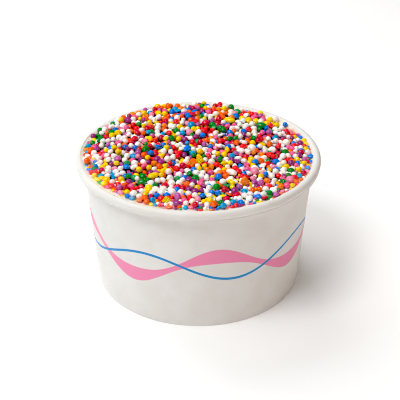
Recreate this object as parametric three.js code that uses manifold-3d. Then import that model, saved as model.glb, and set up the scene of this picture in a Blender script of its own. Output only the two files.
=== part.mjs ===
// A small paper cup filled to the brim with frozen yogurt, under a heap of round nonpareils.
// Millimetres, +Z up. The origin is the middle of the ring that the cup stands on, at table height,
// and -Y is the front. Three pieces: the wall, rolled outwards at the rim and hemmed inwards at the
// foot; the recessed base, whose flange the hem grips; and the yogurt with its nonpareils stuck on.
import * as THREE from "three";
import { mergeVertices } from "three/addons/utils/BufferGeometryUtils.js";
import Module from "manifold-3d";

const { degToRad, radToDeg, euclideanModulo, smoothstep } = THREE.MathUtils;

// ---- Driving dimensions: the cup ----
const RIM_DIAMETER = 87.0; // over the rolled rim
const BASE_DIAMETER = 74.8; // over the wall at the table
const CUP_HEIGHT = 49.2;
const ROLL_DIAMETER = 3.1; // of the rolled rim's section
const BOARD = 0.45; // thickness of the coated board
const GLUE_GAP = 0.1; // on each side of the base's flange
const FOOT_ROUND = 0.3; // rounding of the fold that the cup stands on
const BASE_RECESS = 5.6; // underside of the base above the table
const HEM_CLEARANCE = 0.3; // from the hem's cut edge to the base's underside
const CURL_END_DEG = -125; // where the rolled board stops, just short of the wall
const SEGMENTS = 48; // facets round the cup

// ---- Driving dimensions: the yogurt, which lies lowest at the back right ----
const FOOD_GAP = 0.3; // to the board
const EDGE_DROP = 1.1; // its edge below the top of the rim, on average
const DOME_RISE = 1.4; // its middle above its edge
const TILT = 0.9; // how far its edge falls at the back right and rises at the front left
const TILT_DEG = 50; // the way it falls, from +X towards +Y

// ---- Driving dimensions: the nonpareils, heaped towards the back left ----
const HEAP_DEPTH = 2.5; // of the heap in the middle
const HEAP_LEAN = 1.6; // how much deeper it gets at the back left, and less at the front right
const HEAP_DEG = 110; // the way it gets deeper, from +X towards +Y
const HEAP_THINS = 0.65; // share of its depth that runs out by the edge at the front
const THIN_FROM = 0.7; // share of the radius where it starts to run out
const EDGE_RUN = 3.2; // over this much of its edge the heap slopes down to one bump's height
const BARE_MARGIN = 0.9; // yogurt left bare round the edge
const BAYS = [
  { deg: 34, halfDeg: 13, depth: 2.6 },
  { deg: 102, halfDeg: 7, depth: 1.5 },
  { deg: 318, halfDeg: 10, depth: 1.3 },
]; // where more of the yogurt's edge is bare: the way there from +X, half its width, and its depth
const BEAD_PITCH = 2.4; // from one bump to the next
const BEAD_JITTER = 0.42; // how far a bump may stand from its place in the rows
const BUMP_HEIGHT = 1.15; // a bump's crown above the gaps round it
const BUMP_SPREAD = 0.42; // crowns lie this much higher or lower than the heap's surface
const CROWN_SHARE = 0.56; // size of a bump's flat crown against the bump
const LEAST_RISE = 0.2; // of the gaps between bumps above the yogurt
const SEED = 41;

// ---- Derived sizes ----
const rimRadius = RIM_DIAMETER / 2;
const baseRadius = BASE_DIAMETER / 2;
const rollRadius = ROLL_DIAMETER / 2;
const rollCentre = new THREE.Vector2(rimRadius - rollRadius, CUP_HEIGHT - rollRadius);
const wallTopRadius = rollCentre.x - rollRadius + BOARD;
const baseTop = BASE_RECESS + BOARD;
const hemTop = BASE_RECESS - HEM_CLEARANCE;
const foodRadius = wallInner(CUP_HEIGHT - EDGE_DROP) - FOOD_GAP;

// Outer and inner radius of the tapered wall at height z.
function wallOuter(z) {
  return baseRadius + ((wallTopRadius - baseRadius) * z) / rollCentre.y;
}

function wallInner(z) {
  return wallOuter(z) - BOARD;
}

// How far (x, y) lies in a direction, as a share of the yogurt's radius.
function reachTowards(degrees, x, y) {
  const angle = degToRad(degrees);
  return (x * Math.cos(angle) + y * Math.sin(angle)) / foodRadius;
}

// Height of the yogurt's own surface at (x, y).
function yogurtTop(x, y) {
  const share = Math.min(1, Math.hypot(x, y) / foodRadius);
  const dome = DOME_RISE * (1 - share * share);
  return CUP_HEIGHT - EDGE_DROP + dome - TILT * reachTowards(TILT_DEG, x, y);
}

// How far the nonpareils reach from the middle, in the direction of (x, y).
function heapReach(x, y) {
  let reach = foodRadius - BARE_MARGIN;
  for (const { deg, halfDeg, depth } of BAYS) {
    const turn = radToDeg(Math.atan2(y, x)) - deg;
    const away = Math.abs(euclideanModulo(turn + 180, 360) - 180) / halfDeg;
    reach -= depth * (1 - smoothstep(away, 0, 1));
  }
  return reach;
}

// Depth of the heap of nonpareils at (x, y). It runs out towards the edge, least at the back left.
function heapDepth(x, y) {
  const radius = Math.hypot(x, y);
  const lean = reachTowards(HEAP_DEG, x, y);
  const thins = HEAP_THINS * (1 - Math.max(0, lean));
  const nearEdge = smoothstep(radius / foodRadius, THIN_FROM, 1);
  const depth = (HEAP_DEPTH + HEAP_LEAN * lean) * (1 - thins * nearEdge);
  const slope = Math.min(1, (heapReach(x, y) - radius) / EDGE_RUN);
  return BUMP_HEIGHT + Math.max(0, depth - BUMP_HEIGHT) * slope;
}

// A repeatable source of random numbers from 0 to 1.
function seededRandom(seed) {
  let state = seed;
  return () => {
    state = (state + 0x6d2b79f5) | 0;
    let t = Math.imul(state ^ (state >>> 15), 1 | state);
    t = (t + Math.imul(t ^ (t >>> 7), 61 | t)) ^ t;
    return ((t ^ (t >>> 14)) >>> 0) / 2 ** 32;
  };
}

// ---- Solids ----
const wasm = await Module();
wasm.setup();

// A closed three.js geometry as a solid that can be joined.
function toSolid(geometry) {
  const bare = new THREE.BufferGeometry();
  bare.setAttribute("position", geometry.getAttribute("position"));
  bare.setIndex(geometry.getIndex());
  const merged = mergeVertices(bare, 1e-4);
  return new wasm.Manifold(
    new wasm.Mesh({
      numProp: 3,
      vertProperties: new Float32Array(merged.getAttribute("position").array),
      triVerts: new Uint32Array(merged.getIndex().array),
    }),
  );
}

// A solid back as a three.js geometry.
function toGeometry(solid) {
  const mesh = solid.getMesh();
  const geometry = new THREE.BufferGeometry();
  geometry.setAttribute("position", new THREE.BufferAttribute(mesh.vertProperties, 3));
  geometry.setIndex(new THREE.BufferAttribute(mesh.triVerts, 1));
  return geometry;
}

// Triangles, each a list of three [x, y, z] points, as a three.js geometry.
function fromTriangles(triangles) {
  const geometry = new THREE.BufferGeometry();
  const positions = new Float32Array(triangles.flat(2));
  geometry.setAttribute("position", new THREE.BufferAttribute(positions, 3));
  return geometry;
}

// A profile of [radius, height] points turned round the Z axis.
function turned(points) {
  const profile = points.map(([r, z]) => new THREE.Vector2(r, z));
  return new THREE.LatheGeometry(profile, SEGMENTS).rotateX(Math.PI / 2);
}

// ---- The cup ----

// Points on an arc round the middle of the rolled rim's section, between two angles in degrees.
function rollArc(radius, fromDeg, toDeg, steps) {
  const points = [];
  for (let i = 0; i <= steps; i++) {
    const angle = degToRad(fromDeg + ((toDeg - fromDeg) * i) / steps);
    points.push([
      rollCentre.x + radius * Math.cos(angle),
      rollCentre.y + radius * Math.sin(angle),
    ]);
  }
  return points;
}

// The wall is one strip of board: hem, fold at the foot, tapered side, and the curl of the rim.
// The board's outer face turns into the inside of the curl, and its inner face into the outside.
function wallGeometry() {
  const slotInner = (z) => wallInner(z) - BOARD - 2 * GLUE_GAP;
  const hemInner = (z) => slotInner(z) - BOARD;
  return turned([
    [hemInner(0) + FOOT_ROUND, 0],
    [wallOuter(0) - FOOT_ROUND, 0],
    [wallOuter(FOOT_ROUND), FOOT_ROUND],
    ...rollArc(rollRadius - BOARD, 180, CURL_END_DEG, 8),
    ...rollArc(rollRadius, CURL_END_DEG, 180, 10),
    [wallInner(BOARD), BOARD],
    [slotInner(BOARD), BOARD],
    [slotInner(hemTop), hemTop],
    [hemInner(hemTop), hemTop],
    [hemInner(FOOT_ROUND), FOOT_ROUND],
    [hemInner(0) + FOOT_ROUND, 0],
  ]);
}

// The base is a disc whose edge turns down into the slot between wall and hem.
function baseGeometry() {
  const flangeOuter = (z) => wallInner(z) - GLUE_GAP;
  const flangeInner = (z) => flangeOuter(z) - BOARD;
  const flangeFoot = BOARD + GLUE_GAP;
  return turned([
    [0, BASE_RECESS],
    [flangeInner(BASE_RECESS), BASE_RECESS],
    [flangeInner(flangeFoot), flangeFoot],
    [flangeOuter(flangeFoot), flangeFoot],
    [flangeOuter(baseTop), baseTop],
    [0, baseTop],
  ]);
}

// ---- The frozen yogurt and its nonpareils ----

// The yogurt without its nonpareils: it fills the cup up to its domed surface.
function yogurtCore() {
  const floor = baseTop + FOOD_GAP;
  const rings = 5;
  const points = [
    [0, floor],
    [wallInner(floor) - FOOD_GAP, floor],
  ];
  for (let i = 0; i <= rings; i++) {
    points.push([foodRadius * (1 - i / rings), CUP_HEIGHT]);
  }
  const geometry = turned(points);
  const position = geometry.getAttribute("position");
  for (let i = 0; i < position.count; i++) {
    if (position.getZ(i) > CUP_HEIGHT - 1e-3) {
      position.setZ(i, yogurtTop(position.getX(i), position.getY(i)));
    }
  }
  return toSolid(geometry);
}

// Middles of the bumps by row and place, in staggered rows, each moved a little at random.
function bumpMiddles(random) {
  const rowHeight = (BEAD_PITCH * Math.sqrt(3)) / 2;
  const rows = Math.ceil(foodRadius / rowHeight) + 2;
  const middles = new Map();
  for (let row = -rows; row <= rows; row++) {
    for (let place = -2 * rows; place <= 2 * rows; place++) {
      const turn = 2 * Math.PI * random();
      const shift = BEAD_JITTER * Math.sqrt(random());
      middles.set(`${place},${row}`, [
        BEAD_PITCH * (place + row / 2) + shift * Math.cos(turn),
        rowHeight * row + shift * Math.sin(turn),
      ]);
    }
  }
  return middles;
}

// The point where three bumps meet: in the middle of them, and no further out than the heap.
function meetingPoint(three) {
  const x = (three[0][0] + three[1][0] + three[2][0]) / 3;
  const y = (three[0][1] + three[1][1] + three[2][1]) / 3;
  const trim = Math.min(1, heapReach(x, y) / Math.hypot(x, y));
  const [px, py] = [x * trim, y * trim];
  const rise = Math.max(LEAST_RISE, heapDepth(px, py) - BUMP_HEIGHT);
  return [px, py, yogurtTop(px, py) + rise];
}

// The bumps: each has six corners in the gaps round it, and a crown of three points.
function heapBumps(random) {
  const middles = bumpMiddles(random);
  const around = [
    [1, 0],
    [0, 1],
    [-1, 1],
    [-1, 0],
    [0, -1],
    [1, -1],
  ];
  const bumps = [];
  for (const [key, middle] of middles) {
    if (Math.hypot(...middle) > heapReach(...middle) - BEAD_PITCH / 3) continue;
    const [place, row] = key.split(",").map(Number);
    const next = around.map(([p, r]) => middles.get(`${place + p},${row + r}`));
    const corners = next.map((bump, i) => meetingPoint([middle, bump, next[(i + 1) % 6]]));
    const least = yogurtTop(...middle) + LEAST_RISE + BUMP_HEIGHT / 2;
    const level = yogurtTop(...middle) + heapDepth(...middle);
    const height = Math.max(least, level + BUMP_SPREAD * (2 * random() - 1));
    const crown = [0, 2, 4].map((i) => [
      middle[0] + CROWN_SHARE * (corners[i][0] - middle[0]),
      middle[1] + CROWN_SHARE * (corners[i][1] - middle[1]),
      height,
    ]);
    bumps.push({ corners, crown });
  }
  return bumps;
}

// The bumps joined into one layer, with a flat underside sunk in the yogurt.
function heapLayer(bumps) {
  const underside = CUP_HEIGHT - 3 * BEAD_PITCH;
  const sunk = ([x, y]) => [x, y, underside];
  const name = ([x, y]) => `${x.toFixed(4)},${y.toFixed(4)}`;
  const triangles = [];
  const openEdges = new Map();
  for (const { corners, crown } of bumps) {
    triangles.push(crown);
    for (let i = 0; i < 6; i++) {
      const a = corners[i];
      const b = corners[(i + 1) % 6];
      const here = crown[Math.floor(i / 2)];
      const after = crown[(Math.floor(i / 2) + 1) % 3];
      if (i % 2 === 0) triangles.push([a, b, here], [here, b, after]);
      else triangles.push([a, b, after]);
      if (i > 0 && i < 5) triangles.push([sunk(corners[0]), sunk(b), sunk(a)]);
      const neighbours = `${name(b)}|${name(a)}`;
      if (openEdges.has(neighbours)) openEdges.delete(neighbours);
      else openEdges.set(`${name(a)}|${name(b)}`, [a, b]);
    }
  }
  for (const [a, b] of openEdges.values()) {
    triangles.push([a, sunk(a), b], [b, sunk(a), sunk(b)]);
  }
  return toSolid(fromTriangles(triangles));
}

function yogurtGeometry() {
  const random = seededRandom(SEED);
  return toGeometry(yogurtCore().add(heapLayer(heapBumps(random))));
}

// ---- Materials ----
const boardMaterial = new THREE.MeshStandardMaterial({
  color: 0xf1efea,
  roughness: 0.45,
  metalness: 0,
});
const baseMaterial = new THREE.MeshStandardMaterial({
  color: 0xe9e6df,
  roughness: 0.55,
  metalness: 0,
});
const yogurtMaterial = new THREE.MeshStandardMaterial({
  color: 0xf4ead8,
  roughness: 0.5,
  metalness: 0,
});

// ---- The object ----
function piece(name, geometry, material) {
  const mesh = new THREE.Mesh(geometry, material);
  mesh.name = name;
  return mesh;
}

const cupOfYogurt = new THREE.Group();
cupOfYogurt.add(
  piece("cup_wall", wallGeometry(), boardMaterial),
  piece("cup_base", baseGeometry(), baseMaterial),
  piece("frozen_yogurt", yogurtGeometry(), yogurtMaterial),
);

export default cupOfYogurt;
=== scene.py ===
"""The looks of a paper cup of frozen yogurt under coloured sugar beads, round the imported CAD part.

The CAD part's frame is kept: the origin is the middle of the ring that the cup stands on, +Z is up
and -Y is the front. Shapes are worked out in millimetres, and become metres as their mesh is made.
"""

import math

import bmesh
import bpy
import numpy as np
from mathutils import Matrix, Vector


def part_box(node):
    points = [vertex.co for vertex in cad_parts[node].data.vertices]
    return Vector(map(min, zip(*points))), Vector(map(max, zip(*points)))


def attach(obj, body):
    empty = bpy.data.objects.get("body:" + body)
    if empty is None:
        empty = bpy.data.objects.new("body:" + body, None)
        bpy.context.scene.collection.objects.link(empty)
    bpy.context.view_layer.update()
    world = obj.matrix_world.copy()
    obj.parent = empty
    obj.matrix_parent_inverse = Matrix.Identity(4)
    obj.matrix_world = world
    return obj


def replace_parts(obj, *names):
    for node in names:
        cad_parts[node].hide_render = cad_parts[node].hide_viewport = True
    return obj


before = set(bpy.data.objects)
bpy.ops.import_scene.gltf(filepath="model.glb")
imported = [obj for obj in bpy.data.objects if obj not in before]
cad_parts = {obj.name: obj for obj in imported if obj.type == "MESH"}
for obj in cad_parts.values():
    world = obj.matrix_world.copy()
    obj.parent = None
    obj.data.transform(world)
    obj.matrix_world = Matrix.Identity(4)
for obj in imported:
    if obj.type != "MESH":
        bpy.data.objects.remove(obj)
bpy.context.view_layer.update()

MM = 0.001

# ---- The cup, in millimetres ----
RIM_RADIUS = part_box("cup_wall")[1].x / MM
RIM_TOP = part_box("cup_wall")[1].z / MM
BASE_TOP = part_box("cup_base")[1].z / MM
FOOT_RADIUS = 37.4  # of the wall's outside at the table
ROLL_RADIUS = 1.55  # of the rolled rim's section
BOARD = 0.45  # thickness of the coated board
GLUE_GAP = 0.1  # on each side of the base's flange
FOOT_ROUND = 0.3  # rounding of the fold that the cup stands on
HEM_CLEARANCE = 0.3  # from the hem's cut edge to the base
CURL_END_DEG = -125  # where the rolled board stops
CREASE_DEG = -49  # a fine ridge low on the roll's outside
CREASE_WIDTH_DEG = 4.5
CREASE_HEIGHT = 0.36
TURN_STEPS = 240  # round the cup
WALL_ROWS, INNER_ROWS = 24, 12  # of the wall's mesh, outside and inside
ROLL_POINTS, CURL_STEPS = 204, 20  # round the rolled rim, outside and inside
BELOW_ROLL = 3  # from the roll's middle down to the wall's highest row
FOOT_STEPS = 4  # of each rounding of the fold
BOARD_SHARP_DEG = 35  # edges of the board that turn more than this stay sharp

SEAM_DEG = 118  # where the board overlaps itself, at the back
SEAM_WIDTH = 6.0
SEAM_STEP = 0.22  # how far the outer layer stands proud
SEAM_ON_ROLL = (0.5, 0.4)  # share of that step that shows on the roll, outwards and up
SEAM_EDGE_DEG = 0.15  # between the mesh's close steps at the seam's edges
SEAM_BLEND_DEG = 0.1
RIM_WAVE = 0.1  # how far the rim strays from a true circle, up and out
RIM_WAVES = [(2, 1.1, 0.6), (5, 0.4, 0.4)]  # how it goes up and down: count, phase, share
FADE_DOWN, FADE_INWARDS = 6, 12  # powers by which the unevenness fades away from the rim
DENT_DEG = -52  # a slight dent in the rim
DENT_WIDTH_DEG = 3.5
DENT_DEPTH = 0.22

# ---- The yogurt and the heap, with the values of the CAD part ----
EDGE_DROP = 1.1  # the yogurt's edge below the top of the rim, on average
DOME_RISE = 1.4  # its middle above its edge
TILT = 0.9  # how far its edge falls at the back right and rises at the front left
TILT_DEG = 50  # the way it falls
HEAP_DEPTH = 2.5  # in the middle
HEAP_LEAN = 1.6  # how much deeper it gets at the back left, and less at the front right
HEAP_DEG = 110  # the way it gets deeper
HEAP_THINS = 0.65  # share of its depth that runs out by the edge at the front
THIN_FROM = 0.7  # share of the radius where it starts to run out
EDGE_RUN = 3.2  # over this much of its edge the heap slopes down
BARE_MARGIN = 0.9  # yogurt left bare round the edge
BEAD_HEIGHT = 1.15  # depth that is left at the heap's edge

# ---- Their edges, which the CAD part has simpler: three bays, no dips, no ripples, no clinging ----
STEEPER = 0.4  # the heap's edge where it is highest
DIPS = [(96, 16, 0.5), (124, 12, 0.7)]  # lower stretches of its edge: degrees, half width, depth
BAYS = [  # where the heap stops short of the wall: degrees, half width in degrees, depth
    (34, 13, 2.4),
    (99, 8, 2.2),
    (318, 10, 1.3),
    (196, 20, 3.4),
    (240, 25, 0.4),
]

RIPPLES = [(5, 0.8), (11, 2.1), (17, 4.4), (29, 0.3), (41, 5.2), (67, 3.6)]  # round the edge, and phase
RIPPLE_HEIGHT = 0.22
RIPPLE_FADE = 0.1  # finer ripples are lower
EDGE_FROM = 0.9  # share of its radius from where the yogurt ripples and widens to meet the wall
CLING = 0.3  # how far the yogurt is drawn up the wall
CLING_RUN = 0.6
CLINGS = [  # where it is smeared up the wall: degrees, half width, height, how far it runs in
    (48, 55, 1.4, 1.4),
    (172, 30, 0.7, 0.6),
    (98, 12, 1.1, 2.2),
]

# ---- The sugar beads ----
SEED = 7
DROPS = 9000  # how often a bead is dropped on the heap; those that find no room are left out
BEAD_RADIUS = 1.12  # on average
BEAD_SPREAD = 0.12  # standard deviation
LEAST_BEAD, LARGEST_BEAD = 0.85, 1.42
ROLLS = 3  # steps that a bead rolls before it sticks
ROLL_STEP = 0.5
ROLL_SHRINKS = 0.6  # the next step's share of this one, where a bead stays put
ROUGHNESS = 0.5  # how unevenly high the heap's top is
RAGGED = 0.1  # how unevenly its edge runs
CELL = 3.0  # of the grid that finds a bead's neighbours
STRAY_STANDS = 0.8  # share of its radius by which a whole stray bead's middle is above the yogurt
STRAY_INSIDE = 0.6  # share of its radius that its middle stays inside the wall
SUNK = 0.35  # share of its radius that a bead sinks into the yogurt
CREST = 0.75  # how far the topmost beads stand above the heap's surface
TOP_STEP = 0.4  # of the grid of the heap's mean top
TOP_SMOOTHINGS = 12
DEEP_SHADE_DEPTHS = (0.1, 1.3)  # below the heap's mean top, from where and to where beads are darkened with painted shade
DEEP_SHADE = 0.9
DEEP = 1.7  # a bead whose top is this far below the heap's gets a coarse mesh
UNDERSIDE_SHADE = 0.52  # painted shade on a bead's lower half
UNDERSIDE_FROM_TO = (-0.1, 0.8)  # below its middle, as shares of its radius
LIGHT_UNDERSIDE_SHADE = 0.24  # the same for the light colours
LIGHT_COLOURS = ("white", "yellow", "orange", "pink")
EDGE_DROPS = 3500  # tries at a bead that sinks into the yogurt beside the wall
EDGE_RADII = (0.45, 1.15)
EDGE_PAST = 0.3  # past the wall's face, from where the outermost one's middle is measured inwards
EDGE_INSIDE, MELTED_NEARER = 0.8, 0.4  # by this share of its radius, and this much less if melted
EDGE_UNDER_HEAP = 2.0  # how far in under the heap's edge they start
EDGE_HEIGHTS = (-0.15, 0.25)  # of a whole one's middle over the yogurt, as shares of its radius
EDGE_OVERLAP = 0.65  # how near it may come to others, as a share of the two radii
GAP_DROPS = 16000  # tries at a small bead in the gaps between the others
GAP_RADII = (0.55, 0.95)
GAP_HEIGHTS = (-0.1, 0.5)  # of the lowest ones' middles over the yogurt, as shares of the radius
GAP_RISES_FROM = 2.3  # depth of the heap from where on some of them lie higher
GAP_OVERLAP = 0.74  # how near such a bead may come to others, as a share of the two radii
LEAST_SUNK = 0.2  # share of its radius by which one counts as sunk into the yogurt
TWIN_SIZES = (0.75, 1.0)  # of the second ball of a twin, as a share of the first
TWIN_APART = 0.72  # between their middles, as a share of the two radii
TWIN_LIFT = 0.15  # how much higher the second one lies, as a share of its radius
TWIN_TRIES = 8  # directions round the first ball
TWIN_ROOM = 0.75  # a twin that cuts a neighbour by more than this share of its radius is left out
STRETCHES = {"oval": (1.2, 0.98, 0.9), "long": (1.6, 0.9, 0.8), "lump": (1.0, 0.8, 1.5)}
STRETCH_VARIES = 0.06
UNEVEN, ROUGH_UNEVEN = 0.026, 0.07  # how lumpy a bead is
COARSE_LUMPS, FINE_LUMPS = 2.6, 4.0
LUMP_WAVES = 5
FLAT_CHANCE = 0.35  # of a bead with a flat where it was pressed
FLAT_AT = (0.72, 0.9)  # of its radius
BEAD_SHARP_DEG = 50
WAFFLE_TILT = 0.55  # radians, so that its face is seen from the front
WAFFLE_STEPS = 18  # of its mesh along a side
WAFFLE_REACH, WAFFLE_HALF = 1.3, 0.3  # half its length and thickness, as shares of its radius
WAFFLE_PIT, WAFFLE_BEVEL = 0.16, 0.12
FORMS = [  # the share of the heap's beads that are drawn in each form
    (0.63, "round"),
    (0.17, "oval"),
    (0.04, "twin"),
    (0.06, "dimpled"),
    (0.06, "rough"),
    (0.02, "berry"),
    (0.02, "chip"),
]
FEATURES = [  # the odd pieces that stand out: pixel of the photograph, form, colour, radius, turn
    ((199, 160), "waffle", "yellow", 1.25, 0),
    ((190, 163), "waffle", "orange", 1.0, 20),
    ((166, 200), "waffle", "yellow", 1.2, 10),
    ((245, 182), "lump", "orange", 1.35, 20),
    ((231, 172), "long", "white", 1.35, -40),
    ((278, 146), "berry", "red", 1.4, 0),
    ((191, 125), "round", "blue", 1.5, 0),
    ((254, 171), "dimpled", "pink", 1.5, 0),
    ((177, 203), "oval", "purple", 1.2, 0),
    ((148, 188), "twin", "yellow", 1.45, 0),
    ((153, 175), "long", "yellow", 1.25, 30),
    ((229, 120), "long", "yellow", 1.4, -20),
    ((220, 128), "twin", "green", 1.2, 0),
    ((261, 125), "long", "green", 1.35, -20),
    ((216, 187), "round", "green", 1.4, 0),
    ((145, 149), "rough", "green", 1.35, 0),
    ((187, 148), "long", "blue", 1.3, 60),
    ((118, 152), "berry", "yellow", 1.4, 0),
    ((286, 142), "dimpled", "white", 1.35, 0),
    ((251, 148), "dimpled", "white", 1.5, 0),
    ((213, 204), "round", "orange", 1.25, 0),
    ((128, 120), "round", "purple", 1.4, 0),
]
FEATURE_DEPTH = 0.8  # of its middle below the heap's top, as a share of its radius
FEATURE_ROOM = 0.6  # how near other beads may come, as a share of the two radii
SIGHT_ROOM = 0.72  # the same for the beads that stand between it and the camera
PIT_SHADE = 0.45  # painted shade in the pockets of a waffle
PATCHES = [  # where beads of one colour lie together: pixel, reach, colour, share that turns to it
    ((245, 123), 4.0, "white", 0.85),
    ((226, 167), 3.0, "orange", 0.8),
    ((268, 168), 4.0, "white", 0.6),
    ((206, 128), 2.6, "red", 0.7),
    ((263, 187), 3.2, "white", 0.6),
    ((170, 186), 3.2, "white", 0.6),
    ((141, 172), 3.0, "green", 0.5),
]
STRAYS = [  # beads at the heap's edge: pixel, radius, colour, how far it has melted
    ((284.7, 124.3), 0.95, "blue", 0),
    ((275.2, 118.5), 1.3, "white", 0),
    ((269.7, 120.0), 1.35, "yellow", 0),
    ((259.7, 113.5), 1.3, "yellow", 0),
    ((276.0, 124.5), 1.1, "yellow", 0),
    ((285.8, 130.3), 0.95, "red", 0),
    ((289.0, 133.5), 0.7, "red", 0.5),
    ((296.8, 135.5), 0.85, "purple", 0.3),
    ((300.2, 136.7), 0.8, "blue", 0.4),
    ((303.3, 139.8), 1.0, "yellow", 0.3),
    ((306.4, 143.0), 0.85, "yellow", 0.5),
    ((308.8, 146.2), 0.75, "blue", 0.5),
    ((304.2, 146.0), 0.9, "red", 0),
    ((310.0, 155.7), 1.0, "blue", 0.2),
    ((303.8, 162.7), 1.05, "yellow", 0.3),
    ((307.4, 167.0), 0.85, "blue", 0.5),
    ((306.0, 170.3), 0.9, "pink", 0.5),
    ((299.0, 175.4), 1.05, "blue", 0.2),
    ((300.2, 178.8), 0.8, "orange", 0.6),
    ((295.6, 181.2), 0.85, "orange", 0.4),
    ((291.8, 184.8), 0.95, "yellow", 0.3),
    ((286.2, 184.8), 1.1, "pink", 0),
    ((281.6, 190.6), 0.7, "pink", 0.5),
    ((275.5, 193.8), 1.0, "purple", 0.3),
    ((268.3, 196.8), 0.9, "green", 0.5),
    ((258.0, 196.2), 1.1, "blue", 0.2),
    ((236.0, 204.8), 0.85, "red", 0.4),
    ((222.6, 205.2), 1.15, "blue", 0),
    ((206.5, 204.4), 1.05, "white", 0),
    ((201.4, 205.4), 0.9, "purple", 0.3),
    ((190.4, 207.0), 0.7, "pink", 0.5),
    ((185.4, 203.2), 1.0, "white", 0),
    ((168.6, 207.2), 0.9, "orange", 0.8),
    ((152.8, 205.6), 0.8, "blue", 0.8),
    ((144.6, 202.0), 1.0, "orange", 0.2),
    ((136.4, 200.8), 0.9, "orange", 0.5),
    ((130.2, 198.4), 0.8, "blue", 0.5),
    ((125.8, 195.8), 0.85, "blue", 0.4),
    ((119.8, 192.2), 0.95, "pink", 0.3),
    ((111.0, 185.2), 1.1, "red", 0.2),
    ((105.6, 186.8), 0.8, "pink", 0.6),
    ((101.6, 183.2), 0.95, "yellow", 0.3),
    ((100.4, 175.6), 0.95, "blue", 0.4),
    ((93.4, 175.0), 1.0, "yellow", 0.3),
    ((90.6, 171.0), 0.85, "red", 0.8),
    ((90.4, 166.4), 0.85, "red", 0.8),
    ((95.3, 165.6), 0.8, "blue", 0),
    ((86.5, 160.5), 1.2, "orange", 0),
    ((90.2, 149.8), 1.3, "orange", 0),
    ((88.2, 145.8), 1.0, "blue", 0),
    ((92.3, 135.6), 1.15, "purple", 0),
    ((98.9, 129.3), 1.1, "green", 0),
]
EDGE_WHITES = 0.3  # chance that a white bead beside the wall is kept, each time one is drawn
BARE_EDGES = [(34, 11), (98, 6)]  # stretches where no bead melts into it: degrees, half width
SHADE_UNDER_HEAP_DEPTHS = (1.8, 3.6)  # inside the heap's edge, from where and to where painted shade darkens the yogurt

# ---- The yogurt's colours ----
DYE_SPREAD = 0.7  # how far a bead's dye bleeds
DYE_STRENGTH = 0.75
DYE_FROM = 0.8  # share of the bead's radius from where it fades
DYE_FILLS = 1.2  # how fast the dye of several beads covers the cream
DYE_PURE = 0.7  # share of the beads' own colour in it
DYE_REACHES_UP = 0.3  # a bead whose underside is no higher than this above the yogurt dyes it
BLOCK = 2000  # points that are coloured at a time
SMEAR_THICKNESS = 0.12
STAINS = 240  # soft streaks of mixed dye in the bare yogurt at the edge
STAIN_WIDTHS = (0.3, 1.1)
STAIN_COVERS = (0.4, 0.95)
STAINS_IN, STAINS_OUT = 3.5, 0.8  # how far inside and outside the wall's face they lie
YOGURT_TURN_STEPS = 384
INNER_RINGS, INNER_SHARE = 9, 0.8  # few rings under the heap
OUTER_RINGS, OUTER_SHARE = 38, 0.805  # and many near the wall
SIDE_ROWS = 8  # down the yogurt's side
SIDE_ENDS = 4  # its highest side row below the top of the rim
OVER_BASE = 0.05  # its underside above the base
WALL_OVERLAP, EDGE_INTO_WALL = 0.02, 0.03  # how far its side and its edge reach into the board
YOGURT_SHARP_DEG = 60
SMEAR_RINGS, SMEAR_COLUMNS = 6, 28  # of a smear's mesh
SMEAR_WAVINESS = 0.16
SMEAR_SUNK = 0.02  # how far its edge lies below the board's face
SMEAR_PALER = 0.35  # share of cream at its edge

# ---- The camera, from the photograph's 400 x 400 frame ----
PHOTO_WIDTH = 400
CAMERA_ELEVATION = math.radians(30.75)
CAMERA_DISTANCE = 374.0  # from the middle of the cup
FOCAL_PIXELS = 1015.7
CUP_MIDDLE_PIXEL = (198.34, 210.9)
SENSOR = 36.0
SIGHT_STEPS = 20  # to find what a pixel shows

# ---- Lights and floor ----
LIGHTS = [  # name, azimuth from the camera's side and elevation in degrees, metres, watts, colour
    ("key_light", -47, 59, 0.35, 4.0, (1.0, 1.0, 1.0)),
    ("top_light", -20, 86, 0.6, 1.5, (1.0, 0.97, 0.9)),
    ("left_light", -90, 35, 0.7, 1.6, (0.85, 0.98, 1.0)),
    ("front_light", -15, 12, 0.8, 1.1, (1.0, 0.86, 0.9)),
    ("right_light", 60, 12, 0.8, 1.65, (1.0, 0.73, 0.55)),
    ("back_light", -150, 50, 0.6, 4.6, (1.0, 1.0, 1.0)),
]
MIRRORED_LIGHT = "key_light"  # the only one that the beads and the board mirror
LIGHT_DISTANCE = 0.9  # metres from the cup
FLOOR_HALF = 3000  # millimetres
FLOOR_GLOWS_FROM_TO = (0.35, 1.6)  # metres from the cup, where the floor's own light grows
FLOOR_GLOW = (0.13, 0.95)
BLACK_LEVEL = 0.012  # light that the photograph shows as black
PIXEL_FILTER = 1.0  # in pixels: the photograph is crisp


def srgb(red, green, blue):
    """A colour given as 0 to 255 on a screen, in linear light."""
    share = np.array([red, green, blue]) / 255
    return np.where(share <= 0.04045, share / 12.92, ((share + 0.055) / 1.055) ** 2.4)


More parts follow.
